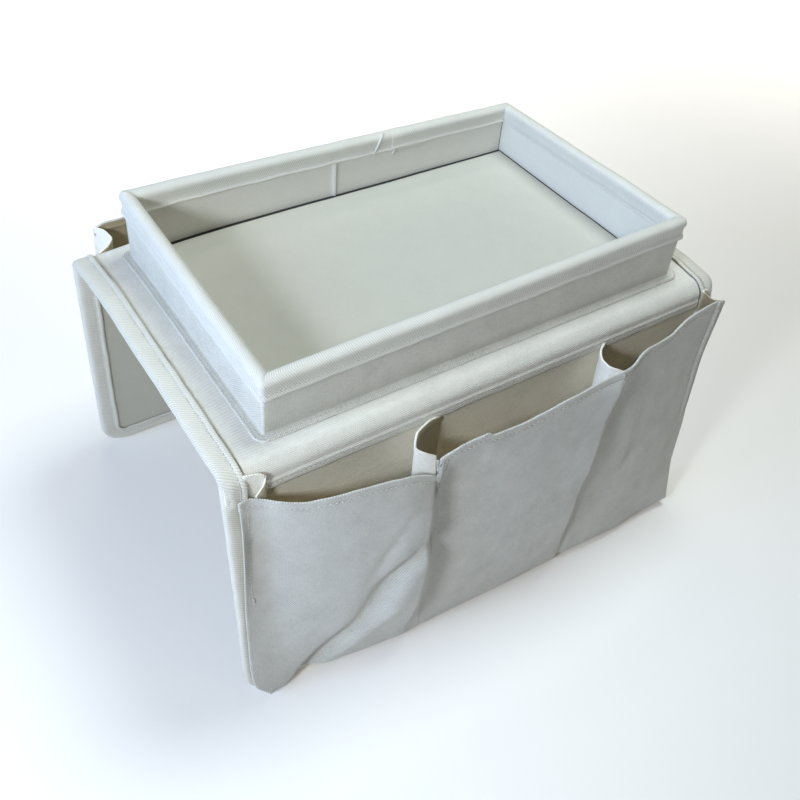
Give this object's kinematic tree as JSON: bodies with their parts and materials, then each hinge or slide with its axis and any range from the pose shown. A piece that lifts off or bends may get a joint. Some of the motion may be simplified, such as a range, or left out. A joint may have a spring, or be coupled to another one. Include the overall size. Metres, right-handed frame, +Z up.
{
  "type": "armrest organizer",
  "caption": "Cloth armrest organizer: a low walled tray on a boarded saddle whose stiff flaps hang down and carry open-topped storage pockets.",
  "frame": {"origin": "centre of the top panel's underside, the flat face that lies on the armrest", "axes": "+X along the armrest, -Y towards the flap with three pockets, +Z up, out of the open tray"},
  "size_m": [0.361, 0.2861, 0.2366],
  "materials": {
    "cloth": "matte",
    "lining": "matte",
    "tape": "matte",
    "board": "matte"
  },
  "bodies": {
    "saddle": {"top_cover": "cloth", "tray_wall_cover": "cloth", "front_fold_cloth": "cloth", "rear_fold_cloth": "cloth", "top_lining": "lining", "tray_wall_lining": "lining", "top_tape_left": "tape", "top_tape_right": "tape", "tray_rim_tape": "tape", "front_fold_tape_left": "tape", "front_fold_tape_right": "tape", "rear_fold_tape_left": "tape", "rear_fold_tape_right": "tape", "top_board": "board", "tray_board_front": "board", "tray_board_rear": "board", "tray_board_left": "board", "tray_board_right": "board"},
    "loose_floor": {"tray_floor_cover": "cloth", "tray_floor_board": "board"},
    "front_flap": {"front_flap_cover": "cloth", "front_flap_lining": "lining", "front_flap_board": "board", "front_flap_tape": "tape", "front_gusset_left": "cloth", "front_divider_1": "cloth", "front_divider_2": "cloth", "front_gusset_right": "cloth"},
    "front_pockets": {"front_pocket_front": "cloth"},
    "rear_flap": {"rear_flap_cover": "cloth", "rear_flap_lining": "lining", "rear_flap_board": "board", "rear_flap_tape": "tape", "rear_gusset_left": "cloth", "rear_divider_1": "cloth", "rear_gusset_right": "cloth"},
    "rear_pockets": {"rear_pocket_front": "cloth"}
  },
  "joints": [
    {"name": "front_flap_fold", "type": "hinge", "parent": "saddle", "child": "front_flap", "pos_m": [0, -0.102, -0.0038], "axis": [-1, 0, 0], "range_deg": [-90, 86], "deforming": ["front_fold_cloth", "front_fold_tape_left", "front_fold_tape_right"]},
    {"name": "rear_flap_fold", "type": "hinge", "parent": "saddle", "child": "rear_flap", "pos_m": [0, 0.102, -0.0038], "axis": [1, 0, 0], "range_deg": [-42, 84], "deforming": ["rear_fold_cloth", "rear_fold_tape_left", "rear_fold_tape_right"]},
    {"name": "tray_floor_lift", "type": "slide", "parent": "saddle", "child": "loose_floor", "axis": [0, 0, 1], "range_m": [0, 0.05]},
    {"name": "front_pocket_mouth", "type": "hinge", "parent": "front_flap", "child": "front_pockets", "pos_m": [0, -0.12388, -0.1777], "axis": [1, 0, 0], "range_deg": [-1, 4], "deforming": ["front_gusset_left", "front_divider_1", "front_divider_2", "front_gusset_right"]},
    {"name": "rear_pocket_mouth", "type": "hinge", "parent": "rear_flap", "child": "rear_pockets", "pos_m": [0, 0.12994, -0.17683], "axis": [-1, 0, 0], "range_deg": [-5, 3], "deforming": ["rear_gusset_left", "rear_divider_1", "rear_gusset_right"]}
  ]
}
